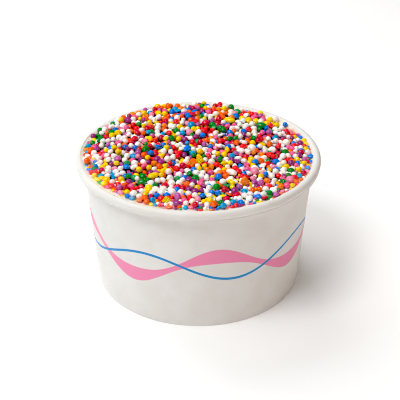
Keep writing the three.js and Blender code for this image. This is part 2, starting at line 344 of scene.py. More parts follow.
CREAM = srgb(246, 238, 222)
# painted shade: a dark colour laid on the yogurt well under the heap, seen through the gaps between beads
SHADE_UNDER_HEAP = srgb(42, 19, 18)
STAIN_TINTS = [
    srgb(120, 190, 130),
    srgb(238, 214, 70),
    srgb(236, 100, 135),
    srgb(100, 178, 222),
    srgb(250, 158, 70),
    srgb(170, 120, 190),
    srgb(216, 60, 75),
    srgb(246, 246, 236),
    srgb(246, 246, 236),
    srgb(200, 226, 206),
]
SMEARS = [  # degrees, millimetres up the inside from the foot of the roll, half sizes, dye
    (35.5, 0.7, 2.4, 0.35, srgb(242, 160, 84)),
    (41, -0.2, 3.6, 0.7, srgb(240, 222, 176)),
    (58, 0.2, 3.0, 0.7, srgb(236, 226, 186)),
    (96, 0.9, 1.1, 0.4, srgb(232, 222, 70)),
    (101, 0.6, 2.6, 0.8, srgb(214, 234, 234)),
    (174, 3.3, 0.55, 0.3, srgb(234, 234, 140)),
    (168, 0.2, 2.2, 0.6, srgb(226, 196, 180)),
    (8, 0.0, 2.8, 0.8, srgb(244, 228, 150)),
]

# Each colour of bead: its share of the draws, and its shades with their shares.
COLOURS = {
    "white": (0.31, [(0.6, srgb(248, 245, 240)), (0.4, srgb(246, 240, 232))]),
    "yellow": (0.125, [(0.8, srgb(255, 206, 6)), (0.2, srgb(255, 216, 24))]),
    "pink": (0.08, [(0.75, srgb(250, 98, 152)), (0.25, srgb(250, 142, 176))]),
    "red": (0.142, [(0.7, srgb(240, 36, 46)), (0.3, srgb(210, 28, 60))]),
    "orange": (0.123, [(0.75, srgb(255, 98, 20)), (0.25, srgb(255, 132, 30))]),
    "blue": (0.088, [(0.7, srgb(8, 122, 226)), (0.3, srgb(10, 156, 216))]),
    "green": (0.056, [(0.8, srgb(14, 136, 42)), (0.2, srgb(30, 156, 84))]),
    "purple": (0.076, [(0.7, srgb(156, 54, 128)), (0.3, srgb(188, 92, 164))]),
}


# ---- Sizes that follow ----
roll_x = RIM_RADIUS - ROLL_RADIUS
roll_z = RIM_TOP - ROLL_RADIUS
wall_top_radius = roll_x - ROLL_RADIUS + BOARD
base_underside = BASE_TOP - BOARD
hem_top = base_underside - HEM_CLEARANCE
seam_half_deg = math.degrees(SEAM_WIDTH / 2 / FOOT_RADIUS)


def wall_outer(z):
    return FOOT_RADIUS + (wall_top_radius - FOOT_RADIUS) * z / roll_z


def wall_inner(z):
    return wall_outer(z) - BOARD


def inner_face(z):
    """Radius of the cup's inside at height z, up over the inside of the rolled rim."""
    z = np.asarray(z, float)
    over = np.clip(z - roll_z, 0, ROLL_RADIUS)
    rolled = roll_x - np.sqrt(ROLL_RADIUS**2 - over**2)
    return np.where(z <= roll_z, wall_inner(z), rolled)


food_radius = float(wall_inner(RIM_TOP - EDGE_DROP))


def smoothstep(x, low, high):
    t = np.clip((x - low) / (high - low), 0, 1)
    return t * t * (3 - 2 * t)


def turn_between(angle, degrees):
    """How far an angle is from a direction in degrees, from -180 to 180 degrees."""
    return (np.degrees(angle) - degrees + 180) % 360 - 180


def near_direction(x, y, degrees, half_width):
    """1 in a direction from the cup's middle, and smoothly less, to 0 at half_width degrees from it."""
    return 1 - smoothstep(np.abs(turn_between(np.arctan2(y, x), degrees)) / half_width, 0, 1)


def reach_towards(degrees, x, y):
    angle = math.radians(degrees)
    return (x * math.cos(angle) + y * math.sin(angle)) / food_radius


def yogurt_top(x, y):
    """Height of the yogurt's smooth surface."""
    share = np.minimum(1, np.hypot(x, y) / food_radius)
    return RIM_TOP - EDGE_DROP + DOME_RISE * (1 - share**2) - TILT * reach_towards(TILT_DEG, x, y)


def yogurt_surface(x, y):
    """Height of its real surface, rippled near the edge and drawn up at the wall."""
    radius, angle = np.hypot(x, y), np.arctan2(y, x)
    waves = sum(np.sin(count * angle + phase) / (2 + RIPPLE_FADE * count) for count, phase in RIPPLES)
    ripple = RIPPLE_HEIGHT * smoothstep(radius / food_radius, EDGE_FROM, 1) * waves
    inwards = np.maximum(food_radius - radius, 0)
    cling = CLING * np.exp(-inwards / CLING_RUN)
    for degrees, half_width, height, run in CLINGS:
        cling = cling + height * near_direction(x, y, degrees, half_width) * np.exp(-inwards / run)
    return yogurt_top(x, y) + ripple + cling


def heap_reach(x, y):
    """How far the beads reach from the middle, in the direction of (x, y)."""
    reach = food_radius - BARE_MARGIN
    for degrees, half_width, depth in BAYS:
        reach = reach - depth * near_direction(x, y, degrees, half_width)
    return reach


def heap_depth(x, y):
    """How deep the heap is, from the yogurt to the surface that its topmost beads stand out of."""
    radius = np.hypot(x, y)
    lean = reach_towards(HEAP_DEG, x, y)
    thins = HEAP_THINS * (1 - np.maximum(0, lean))
    near_edge = smoothstep(radius / food_radius, THIN_FROM, 1)
    depth = (HEAP_DEPTH + HEAP_LEAN * lean) * (1 - thins * near_edge)
    run = EDGE_RUN * (1 - STEEPER * np.maximum(0, lean))
    slope = np.minimum(1, (heap_reach(x, y) - radius) / run)
    for degrees, half_width, dip in DIPS:
        depth = depth - dip * near_edge * near_direction(x, y, degrees, half_width)
    return BEAD_HEIGHT + np.maximum(0, depth - BEAD_HEIGHT) * slope


def heap_top(x, y):
    """About how high the topmost beads reach."""
    return yogurt_top(x, y) + heap_depth(x, y) + CREST


def rim_lift(angle):
    """How far the rim strays upwards at an angle."""
    wave = sum(share * np.sin(count * angle + phase) for count, phase, share in RIM_WAVES)
    dent = np.exp(-((turn_between(angle, DENT_DEG) / DENT_WIDTH_DEG) ** 2))
    return RIM_WAVE * wave - DENT_DEPTH * dent


def uneven(radius, z, angle):
    """A point of the true cup moved to where it is on the real, slightly uneven one."""
    share = np.clip(z / RIM_TOP, 0, 1) ** FADE_DOWN
    share = share * np.clip(radius / food_radius, 0, 1) ** FADE_INWARDS
    out = RIM_WAVE * np.sin(3 * angle + 2.0) * share
    return radius + out, z + rim_lift(angle) * share


# ---- Meshes ----
SAME_PLACE = 1e-7  # metres within which vertices are merged


def even_angles(count):
    """Angles in even steps round the cup."""
    return np.radians(np.arange(count) * 360 / count)


def mesh_object(name, vertices, faces, smooth_below=None):
    """A mesh object from vertices in millimetres. Edges sharper than smooth_below degrees stay sharp."""
    mesh = bpy.data.meshes.new(name)
    faces = np.asarray(faces, np.int32)
    count, sides = faces.shape
    mesh.vertices.add(len(vertices))
    mesh.vertices.foreach_set("co", (np.asarray(vertices, np.float32) * MM).ravel())
    mesh.loops.add(count * sides)
    mesh.loops.foreach_set("vertex_index", faces.ravel())
    mesh.polygons.add(count)
    mesh.polygons.foreach_set("loop_start", np.arange(0, count * sides, sides, dtype=np.int32))
    mesh.polygons.foreach_set("use_smooth", np.ones(count, bool))
    mesh.update(calc_edges=True)
    mesh.validate()
    if smooth_below is not None:
        mesh.set_sharp_from_angle(angle=math.radians(smooth_below))
    piece = bpy.data.objects.new(name, mesh)
    bpy.context.scene.collection.objects.link(piece)
    return piece


def turned(profile, angles, shape=None):
    """Vertices and faces of a closed [radius, height] profile turned round Z. Points on the axis
    become one vertex each when doubles are merged."""
    profile = np.asarray(profile, float)
    rows, columns = len(profile), len(angles)
    radius = np.repeat(profile[:, :1], columns, 1)
    z = np.repeat(profile[:, 1:], columns, 1)
    angle = np.repeat(np.asarray(angles)[None], rows, 0)
    if shape:
        radius, z = shape(radius, z, angle)
    vertices = np.stack([radius * np.cos(angle), radius * np.sin(angle), z], 2).reshape(-1, 3)
    i, j = np.meshgrid(np.arange(rows), np.arange(columns), indexing="ij")
    after_i, after_j = (i + 1) % rows, (j + 1) % columns
    corners = [i * columns + j, i * columns + after_j, after_i * columns + after_j, after_i * columns + j]
    return vertices, np.stack([c.ravel() for c in corners], 1)


def weld(piece, smooth_below):
    """Merges doubles and turns the faces outwards. Edges over smooth_below degrees stay sharp."""
    bm = bmesh.new()
    bm.from_mesh(piece.data)
    bmesh.ops.remove_doubles(bm, verts=bm.verts, dist=SAME_PLACE)
    bmesh.ops.recalc_face_normals(bm, faces=bm.faces)
    bm.to_mesh(piece.data)
    bm.free()
    piece.data.set_sharp_from_angle(angle=math.radians(smooth_below))


def paint(piece, name, colours):
    """A colour for each vertex."""
    attribute = piece.data.color_attributes.new(name, "FLOAT_COLOR", "POINT")
    rgba = np.ones((len(piece.data.vertices), 4), np.float32)
    rgba[:, :3] = colours
    attribute.data.foreach_set("color", rgba.ravel())


# ---- Materials ----
class Material:
    """A node material with a Principled shader, and short ways to add nodes and links."""

    def __init__(self, name, **inputs):
        self.material = bpy.data.materials.new(name)
        self.material.use_nodes = True
        self.tree = self.material.node_tree
        self.shader = self.tree.nodes["Principled BSDF"]
        for socket, value in inputs.items():
            self.shader.inputs[socket.replace("_", " ")].default_value = value

    def node(self, kind, inputs=(), **settings):
        made = self.tree.nodes.new("ShaderNode" + kind)
        for key, value in settings.items():
            setattr(made, key, value)
        for socket, value in dict(inputs).items():
            if isinstance(value, bpy.types.NodeSocket):
                self.tree.links.new(value, made.inputs[socket])
            else:
                made.inputs[socket].default_value = value
        return made

    def math(self, operation, *values):
        return self.node("Math", dict(enumerate(values)), operation=operation).outputs[0]

    def place(self):
        return self.node("TexCoord").outputs["Object"]

    def noise(self, size_mm, detail=2.0, roughness=0.5):
        """Noise whose features are about size_mm across."""
        scale = 1 / (size_mm * MM)
        inputs = {"Vector": self.place(), "Scale": scale, "Detail": detail, "Roughness": roughness}
        return self.node("TexNoise", inputs).outputs["Fac"]

    def ramp(self, value, low, high, to_low=0.0, to_high=1.0):
        """A value from low to high taken smoothly to another range."""
        inputs = {"Value": value, "From Min": low, "From Max": high, "To Min": to_low, "To Max": to_high}
        return self.node("MapRange", inputs, interpolation_type="SMOOTHSTEP").outputs["Result"]

    def mix(self, factor, first, second, blend="MIX"):
        made = self.node("Mix", data_type="RGBA", blend_type=blend)
        for index, value in ((0, factor), (6, first), (7, second)):
            if isinstance(value, bpy.types.NodeSocket):
                self.tree.links.new(value, made.inputs[index])
            elif index == 0:
                made.inputs[index].default_value = value
            else:
                made.inputs[index].default_value = (*value, 1)
        return made.outputs[2]

    def shaded(self, layer, shade):
        """A painted colour, made lighter or darker by a value."""
        painted = self.node("VertexColor", layer_name=layer).outputs["Color"]
        return self.node("VectorMath", {0: painted, "Scale": shade}, operation="SCALE").outputs["Vector"]

    def set(self, socket, value):
        self.tree.links.new(value, self.shader.inputs[socket])

    def bump(self, heights):
        """Bumps from (height, strength, millimetres) one after the other."""
        normal = None
        for height, strength, distance in heights:
            inputs = {"Height": height, "Strength": strength, "Distance": distance * MM}
            if normal is not None:
                inputs["Normal"] = normal
            normal = self.node("Bump", inputs).outputs["Normal"]
        self.set("Normal", normal)


def board_material(name, printed):
    """Smooth white board with a thin coating, and a plain print of two waves if printed."""
    m = Material(name, Roughness=0.42, IOR=1.46, Specular_IOR_Level=0.35)
    mottle = m.noise(9.0, 3.0)
    colour = m.mix(m.ramp(mottle, 0.35, 0.65), srgb(226, 223, 218), srgb(230, 228, 224))
    if printed:
        for band, ink in printed_bands(m):
            colour = m.mix(band, colour, ink)
    m.set("Base Color", colour)
    fibre = m.noise(0.35, 4.0, 0.6)
    ripple = m.noise(7.0, 2.0)
    m.bump([(ripple, 0.12, 0.12), (fibre, 0.1, 0.03)])
    m.set("Roughness", m.ramp(m.noise(1.5, 3.0), 0.3, 0.7, 0.38, 0.47))
    return m.material


PRINT_MIDDLE = 24.5  # height of the waves' middle
PRINT_SWING = 5.5
PRINT_WAVES = 4  # round the cup
BROAD_PHASE, FINE_PHASE, SWELL_PHASE = 0.9, 3.4, 0.2
BROAD_HALF, BROAD_SWELL = 2.0, 0.9  # the pink wave's half width, and how much it swells and thins
FINE_HALF, FINE_SWING = 0.5, 0.8  # the blue wave's half width, and its swing as a share of the other's
INK_EDGE = 0.06
PINK_INK = srgb(240, 140, 178)
BLUE_INK = srgb(0, 140, 205)


def printed_bands(m):
    """Where the ink is: a broad pink wave that swells and thins, and a fine blue one across it."""
    place = m.node("SeparateXYZ", {0: m.place()})
    x, y, z = place.outputs
    angle = m.math("ARCTAN2", y, x)
    height = m.math("DIVIDE", z, MM)

    def wave(count, phase, size, middle):
        turned_angle = m.math("ADD", m.math("MULTIPLY", angle, float(count)), phase)
        return m.math("ADD", m.math("MULTIPLY", m.math("SINE", turned_angle), size), middle)

    def band(centre, half_width):
        away = m.math("ABSOLUTE", m.math("SUBTRACT", height, centre))
        past = m.math("SUBTRACT", away, half_width)
        return m.ramp(past, -INK_EDGE, INK_EDGE, 1.0, 0.0)

    broad = band(
        wave(PRINT_WAVES, BROAD_PHASE, PRINT_SWING, PRINT_MIDDLE),
        wave(PRINT_WAVES * 2, SWELL_PHASE, BROAD_SWELL, BROAD_HALF),
    )
    fine = band(wave(PRINT_WAVES, FINE_PHASE, PRINT_SWING * FINE_SWING, PRINT_MIDDLE), FINE_HALF)
    return [(broad, PINK_INK), (fine, BLUE_INK)]


def yogurt_material():
    """Soft, moist frozen yogurt with the beads' dye bled into it, and painted shade under the heap, from
    its dye layer.
    """
    m = Material("frozen_yogurt", Roughness=0.38, IOR=1.38, Specular_IOR_Level=0.5, Subsurface_Weight=0.15)
    m.shader.inputs["Subsurface Radius"].default_value = (1.0, 0.8, 0.6)
    m.shader.inputs["Subsurface Scale"].default_value = 0.8 * MM
    m.set("Base Color", m.shaded("dye", m.ramp(m.noise(0.9, 3.0, 0.6), 0.3, 0.7, 0.9, 1.06)))
    m.bump([(m.noise(1.6, 3.0), 0.35, 0.25), (m.noise(0.4, 2.0), 0.2, 0.06)])
    return m.material


def bead_material():
    """Hard polished sugar, dyed through, with a slightly grainy skin. Its tint layer holds painted shade as
    well as the beads' own colours.
    """
    m = Material("sugar_bead", Roughness=0.17, IOR=1.5, Specular_IOR_Level=0.95)
    m.set("Base Color", m.shaded("tint", m.ramp(m.noise(0.7, 4.0, 0.6), 0.3, 0.62, 0.93, 1.2)))
    m.set("Roughness", m.ramp(m.noise(0.6, 2.0), 0.3, 0.7, 0.09, 0.19))
    m.bump([(m.noise(0.7, 2.0, 0.5), 0.3, 0.1), (m.noise(0.28, 2.0), 0.25, 0.04)])
    return m.material


# ---- The cup ----
def arc(x, z, radius, from_deg, to_deg, steps):
    """Points of a profile on an arc about (x, z)."""
    angles = np.radians(np.linspace(from_deg, to_deg, steps + 1))
    return [[x + radius * math.cos(a), z + radius * math.sin(a)] for a in angles]


def rim_roll():
    """The outside of the rolled rim, with the fine crease along its lower edge."""
    angles = np.linspace(CURL_END_DEG, 180, ROLL_POINTS)
    radius = ROLL_RADIUS + CREASE_HEIGHT * np.exp(-(((angles - CREASE_DEG) / CREASE_WIDTH_DEG) ** 2))
    turn = np.radians(angles)
    return np.stack([roll_x + radius * np.cos(turn), roll_z + radius * np.sin(turn)], 1).tolist()


def slot_inner(z):
    return wall_inner(z) - BOARD - 2 * GLUE_GAP


def hem_inner(z):
    return slot_inner(z) - BOARD


def wall_angles():
    """Even steps round the cup, with close ones at the seam's two edges."""
    edges = (SEAM_DEG - seam_half_deg, SEAM_DEG + seam_half_deg)
    close = [edge + step for edge in edges for step in (-SEAM_EDGE_DEG, 0.0, SEAM_EDGE_DEG)]
    return np.unique(np.concatenate([even_angles(TURN_STEPS), np.radians(close)]))


def wall_shape(radius, z, angle):
    """The wall with its overlapping seam, and its rim slightly uneven."""
    away = np.abs(turn_between(angle, SEAM_DEG))
    on_seam = 1 - smoothstep(away, seam_half_deg - SEAM_BLEND_DEG, seam_half_deg + SEAM_BLEND_DEG)
    outside = radius > wall_outer(np.minimum(z, roll_z)) - BOARD / 2
    on_roll = z > roll_z - ROLL_RADIUS
    proud = SEAM_STEP * on_seam * (outside | on_roll)
    out, up = SEAM_ON_ROLL
    return uneven(radius + proud * np.where(on_roll, out, 1.0), z + up * proud * on_roll, angle)


def make_wall():
    profile = [
        *arc(hem_inner(0) + FOOT_ROUND, FOOT_ROUND, FOOT_ROUND, 180, 270, FOOT_STEPS),
        *arc(wall_outer(0) - FOOT_ROUND, FOOT_ROUND, FOOT_ROUND, 270, 360, FOOT_STEPS),
        *[[wall_outer(z), z] for z in np.linspace(1, roll_z - BELOW_ROLL, WALL_ROWS)],
        *arc(roll_x, roll_z, ROLL_RADIUS - BOARD, 180, CURL_END_DEG, CURL_STEPS),
        *rim_roll(),
        *[[wall_inner(z), z] for z in np.linspace(roll_z - BELOW_ROLL, BOARD, INNER_ROWS)],
        [slot_inner(BOARD), BOARD],
        [slot_inner(hem_top), hem_top],
        [hem_inner(hem_top), hem_top],
    ]
    wall = mesh_object("paper_wall", *turned(profile, wall_angles(), wall_shape))
    weld(wall, BOARD_SHARP_DEG)
    wall.data.materials.append(board_material("cup_board", printed=True))
    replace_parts(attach(wall, "root"), "cup_wall")


def make_base():
    def flange_outer(z):
        return wall_inner(z) - GLUE_GAP

    flange_foot = BOARD + GLUE_GAP
    bend, bend_steps = 0.6, 5  # radius of the turned-down edge
    inner_bend = 0.4  # of the corner inside it, cut straight
    inset = 0.5  # from the bend to the disc's last ring
    edge = flange_outer(BASE_TOP)
    sag = 0.35  # the disc bellies down a little in the middle
    rings = 14

    def disc(z, outermost):
        return [[r, z - sag * (1 - (r / edge) ** 2)] for r in np.linspace(0, outermost, rings)]

    profile = [
        *disc(base_underside, edge - BOARD - inner_bend),
        [flange_outer(base_underside) - BOARD, base_underside - inner_bend],
        [flange_outer(flange_foot) - BOARD, flange_foot],
        [flange_outer(flange_foot), flange_foot],
        *arc(edge - bend, BASE_TOP - bend, bend, 0, 90, bend_steps),
        *disc(BASE_TOP, edge - bend - inset)[::-1],
    ]
    base = mesh_object("paper_base", *turned(profile, even_angles(TURN_STEPS)))
    weld(base, BOARD_SHARP_DEG)
    base.data.materials.append(board_material("base_board", printed=False))
    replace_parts(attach(base, "root"), "cup_base")


# ---- The beads ----
class Heap:
    """Balls dropped on the yogurt one by one. Each rolls to the lowest place near where it fell."""

    def __init__(self):
        self.balls = []  # (x, y, z, radius)
        self.cells = {}

    def cell(self, x, y):
        return math.floor(x / CELL), math.floor(y / CELL)

    def add(self, ball):
        self.cells.setdefault(self.cell(ball[0], ball[1]), []).append(len(self.balls))
        self.balls.append(ball)

    def near(self, x, y):
        i, j = self.cell(x, y)
        found = [
            self.balls[k]
            for di in (-1, 0, 1)
            for dj in (-1, 0, 1)
            for k in self.cells.get((i + di, j + dj), ())
        ]
        return np.array(found).reshape(-1, 4)

    def between(self, x, y, z, radius):
        """The balls near a new one, its distance from each, and the sum of the two radii."""
        near = self.near(x, y)
        return near, np.linalg.norm(near[:, :3] - [x, y, z], axis=1), near[:, 3] + radius

    def rest_heights(self, x, y, radius, near):
        """Heights at which a ball rests on the yogurt or on the balls near it, over each (x, y)."""
        z = yogurt_top(x, y) + radius * (1 - SUNK)
        if len(near):
            reach = radius + near[:, 3]
            gap = reach**2 - (x[:, None] - near[:, 0]) ** 2 - (y[:, None] - near[:, 1]) ** 2
            on_ball = np.where(gap > 0, near[:, 2] + np.sqrt(np.maximum(gap, 0)), -np.inf)
            z = np.maximum(z, on_ball.max(1))
        return z

    def drop(self, x, y, radius):
        """Where a ball dropped at (x, y) comes to rest."""
        near = self.near(x, y)
        angles = np.arange(6) * math.pi / 3
        step = ROLL_STEP
        for _ in range(ROLLS):
            xs = x + step * np.append(0, np.cos(angles))
            ys = y + step * np.append(0, np.sin(angles))
            z = self.rest_heights(xs, ys, radius, near)
            best = int(np.argmin(z))
            x, y = xs[best], ys[best]
            if best == 0:
                step *= ROLL_SHRINKS
        return x, y, float(z[best])

    def mean_top(self):
        """The heap's top, smoothed over a bead's width, as a function of arrays of x and y."""
        count = int(2 * RIM_RADIUS / TOP_STEP)
        axis = (np.arange(count) - count / 2) * TOP_STEP
        grid_x, grid_y = np.meshgrid(axis, axis, indexing="ij")
        top = yogurt_top(grid_x, grid_y)
        for x, y, z, radius in self.balls:
            i, j = (int((value - radius) / TOP_STEP + count / 2) for value in (x, y))
            size = int(2 * radius / TOP_STEP) + 2
            part = np.s_[i : i + size, j : j + size]
            gap = radius**2 - (grid_x[part] - x) ** 2 - (grid_y[part] - y) ** 2
            top[part] = np.maximum(top[part], np.where(gap > 0, z + np.sqrt(np.maximum(gap, 0)), 0))
        for _ in range(TOP_SMOOTHINGS):
            top = sum(np.roll(top, shift, axis=side) for shift in (-1, 1) for side in (0, 1)) / 4

        def height(x, y):
            i, j = (np.clip(value / TOP_STEP + count / 2, 0, count - 1).astype(int) for value in (x, y))
            return top[i, j]

        return height


def pick(random, shares):
    """A choice from (share, value) pairs."""
    mark = random.random() * sum(share for share, _ in shares)
    for share, value in shares:
        mark -= share
        if mark <= 0:
            return value
    return shares[-1][1]


def new_bead(random, place, radius, form, depth=0.0):
    """A bead as a dict. Its depth tells how far its top is below the heap's."""
    colour = pick(random, [(share, name) for name, (share, _) in COLOURS.items()])
    return {"at": np.array(place), "radius": radius, "form": form, "colour": colour, "depth": depth}


def random_place(random):
    """A place on the yogurt, evenly random, and how far it is from the middle."""
    angle = 2 * math.pi * random.random()
    distance = food_radius * math.sqrt(random.random())
    return distance * math.cos(angle), distance * math.sin(angle), distance


def heap_of_beads(random, heap):
    """The beads that lie on the yogurt, dropped one after the other."""
    beads = []
    for _ in range(DROPS):
        x, y, _ = random_place(random)
        radius = float(np.clip(random.normal(BEAD_RADIUS, BEAD_SPREAD), LEAST_BEAD, LARGEST_BEAD))
        x, y, z = heap.drop(x, y, radius)
        room = heap_top(x, y) + random.uniform(-ROUGHNESS, ROUGHNESS)
        if z + radius > room or math.hypot(x, y) > heap_reach(x, y) - RAGGED * random.random():
            continue
        heap.add((x, y, z, radius))
        bead = new_bead(random, (x, y, z), radius, pick(random, FORMS), room - (z + radius))
        beads.append(bead)
        if bead["form"] == "twin":
            add_twin(random, heap, bead)
    return beads


def settled(beads):
    """The heap that a list of beads makes, to find the room between them."""
    heap = Heap()
    for bead in beads:
        heap.add((*bead["at"], bead["radius"]))
        if "twin" in bead:
            place, radius = bead["twin"]
            heap.add((*place, radius))
    return heap


def gap_beads(random, heap):
    """Small beads in the gaps between the others. Each is sunk into the yogurt or touches a ball that
    is lower."""
    beads = []
    for _ in range(GAP_DROPS):
        x, y, distance = random_place(random)
        radius = random.uniform(*GAP_RADII)
        if distance > heap_reach(x, y):
            continue
        z = yogurt_top(x, y) + radius * random.uniform(*GAP_HEIGHTS)
        z += random.random() * max(0, heap_depth(x, y) - GAP_RISES_FROM)
        near, away, both = heap.between(x, y, z, radius)
        sunk = z - radius * (1 - LEAST_SUNK) < yogurt_top(x, y)
        lies = sunk or np.any((away < both) & (near[:, 2] < z))
        if not lies or np.any(away < GAP_OVERLAP * both):
            continue
        heap.add((x, y, z, radius))
        beads.append(new_bead(random, (x, y, z), radius, "sunk"))
    return beads


def add_twin(random, heap, bead):
    """A second ball grown on to a bead, beside it where there is most room."""
    x, y, z = bead["at"]
    radius = bead["radius"] * random.uniform(*TWIN_SIZES)
    apart = TWIN_APART * (bead["radius"] + radius)
    near = [b for b in heap.near(x, y) if abs(b[0] - x) + abs(b[1] - y) > 1e-6]
    best = None
    for turn in even_angles(TWIN_TRIES) + random.random():
        place = np.array([x + apart * math.cos(turn), y + apart * math.sin(turn), z + TWIN_LIFT * radius])
        overlap = max([radius + b[3] - np.linalg.norm(place - b[:3]) for b in near] or [0])
        if best is None or overlap < best[0]:
            best = (overlap, place)
    if best[0] > TWIN_ROOM * radius:
        bead["form"] = "round"
        return
    bead["twin"] = (best[1], radius)
    heap.add((*best[1], radius))


def stray_beads(random, heap, camera):
    """The beads that are seen one by one at the heap's edge, some of them melted into the yogurt."""
    beads = []
    for pixel, radius, colour, melted in STRAYS:
        stands = STRAY_STANDS * radius * (1 - melted)
        x, y, _ = under_pixel(camera, pixel, lambda x, y: yogurt_surface(x, y) + stands)
        inside = min(1, (food_radius - STRAY_INSIDE * radius) / math.hypot(x, y))
        x, y = x * inside, y * inside
        place = (x, y, float(yogurt_surface(x, y)) + stands)
        heap.add((*place, radius))
        form = "melted" if melted else "round"
        beads.append(new_bead(random, place, radius, form) | {"colour": colour, "melted": melted})
    return beads


def edge_beads(random, heap):
    """Beads sunk into the yogurt between the heap and the wall, from whole ones to flat, melted ones."""
    beads = []
    for _ in range(EDGE_DROPS):
        angle = 2 * math.pi * random.random()
        if any(abs(turn_between(angle, degrees)) < half_width for degrees, half_width in BARE_EDGES):
            continue
        direction = np.array([math.cos(angle), math.sin(angle)])
        radius = random.uniform(*EDGE_RADII)
        melted = random.random()
        outermost = food_radius + EDGE_PAST - radius * (EDGE_INSIDE - MELTED_NEARER * melted)
        x, y = direction * random.uniform(heap_reach(*direction) - EDGE_UNDER_HEAP, outermost)
        z = yogurt_surface(x, y) + radius * random.uniform(*EDGE_HEIGHTS) * (1 - melted)
        _, away, both = heap.between(x, y, z, radius)
        if np.any(away < EDGE_OVERLAP * both):
            continue
        heap.add((x, y, z, radius))
        bead = new_bead(random, (x, y, z), radius, "melted") | {"melted": melted}
        while bead["colour"] == "white" and random.random() > EDGE_WHITES:
            bead["colour"] = new_bead(random, (x, y, z), radius, "melted")["colour"]
        beads.append(bead)
    return beads


def leaves_clear(bead, place, radius, camera):
    """Whether a bead neither cuts an odd piece at a place nor stands before it."""
    apart = bead["at"] - place
    toward = np.array(camera.location.normalized())
    nearer = apart @ toward
    both = bead["radius"] + radius
    hides = nearer > 0 and np.linalg.norm(apart - nearer * toward) < SIGHT_ROOM * both
    return not hides and np.linalg.norm(apart) > FEATURE_ROOM * both


def place_features(random, heap, beads, camera):
    """Gives some beads their neighbours' colour, and puts the odd pieces in place of the beads there."""
    for pixel, reach, colour, share in PATCHES:
        x, y, _ = under_pixel(camera, pixel, heap_top)
        for bead in beads:
            if math.hypot(bead["at"][0] - x, bead["at"][1] - y) < reach and random.random() < share:
                bead["colour"] = colour
    for pixel, form, colour, radius, turn in FEATURES:
        place = np.array(under_pixel(camera, pixel, lambda x, y: heap_top(x, y) - FEATURE_DEPTH * radius))
        beads[:] = [b for b in beads if leaves_clear(b, place, radius, camera)]
        bead = new_bead(random, place, radius, form) | {"colour": colour, "turn": turn}
        beads.append(bead)
        if form == "twin":
            add_twin(random, heap, bead)


# ---- The beads' shapes ----
def unit_ball(subdivisions):
    bm = bmesh.new()
    bmesh.ops.create_icosphere(bm, subdivisions=subdivisions, radius=1.0)
    points = np.array([v.co for v in bm.verts])
    faces = np.array([[v.index for v in f.verts] for f in bm.faces])
    bm.free()
    return points, faces


DENSE_BALL = unit_ball(4)
FINE_BALL = unit_ball(3)
COARSE_BALL = unit_ball(2)


def random_turn(random):
    """A random rotation matrix."""
    q = random.normal(size=4)
    w, x, y, z = q / np.linalg.norm(q)
    return np.array(
        [
            [1 - 2 * (y * y + z * z), 2 * (x * y - w * z), 2 * (x * z + w * y)],
            [2 * (x * y + w * z), 1 - 2 * (x * x + z * z), 2 * (y * z - w * x)],
            [2 * (x * z - w * y), 2 * (y * z + w * x), 1 - 2 * (x * x + y * y)],
        ]
    )


def turn_about_z(angle):
    c, s = math.cos(angle), math.sin(angle)
    return np.array([[c, -s, 0], [s, c, 0], [0, 0, 1]])


def lay_down(tilt):
    c, s = math.cos(tilt), math.sin(tilt)
    return np.array([[1, 0, 0], [0, c, -s], [0, s, c]])


def random_direction(random):
    along = random.normal(size=3)
    return along / np.linalg.norm(along)


def lumpy(random, points, amount, fineness=COARSE_LUMPS):
    """Points of a unit ball made slightly uneven, some with a flat where they were pressed."""
    size = np.ones(len(points))
    for _ in range(LUMP_WAVES):
        wave = np.sin(fineness * points @ random_direction(random) + 6 * random.random())
        size += amount * random.normal() * wave
    if random.random() < FLAT_CHANCE:
        facing = points @ random_direction(random)
        flat = random.uniform(*FLAT_AT) / np.maximum(facing, 0.3)
        size = np.where(facing > 0.3, np.minimum(size, flat), size)
    return points * size[:, None]


def dimple(random, points):
    """A round hollow pressed into a ball."""
    along = np.array([0.5 * random.normal(), 0.5 * random.normal() - 0.4, 1.0])
    facing = points @ along / np.linalg.norm(along) / np.linalg.norm(points, axis=1)
    depth = random.uniform(0.25, 0.45)
    return points * (1 - depth * np.exp(-(1 - facing) / 0.07))[:, None]


def chip(random, radius):
    """A flat, angular chip of sugar shell, slightly curved, which lies at a slant."""
    corners = random.integers(4, 7)
    turns = np.sort((np.arange(corners) + random.uniform(-0.25, 0.25, corners)) * 2 * math.pi / corners)
    reach = radius * random.uniform(1.05, 1.5, corners)
    outline = np.stack([reach * np.cos(turns), reach * np.sin(turns)], 1)
    half = 0.22 * radius
    rings = [(0.0, half), (0.55, half), (0.9, half), (1.0, 0.0), (0.9, -half), (0.55, -half), (0.0, -half)]
    points = np.array(
        [[share * px, share * py, z - 0.25 * radius * share**2] for share, z in rings for px, py in outline]
    )
    faces = []
    for ring in range(len(rings) - 1):
        for k in range(corners):
            a, b = ring * corners + k, ring * corners + (k + 1) % corners
            faces += [[a, b, a + corners], [b, b + corners, a + corners]]
    turn = turn_about_z(2 * math.pi * random.random()) @ lay_down(random.uniform(0.1, 0.6))
    return points @ turn.T + [0, 0, 0.3 * radius], np.array(faces)


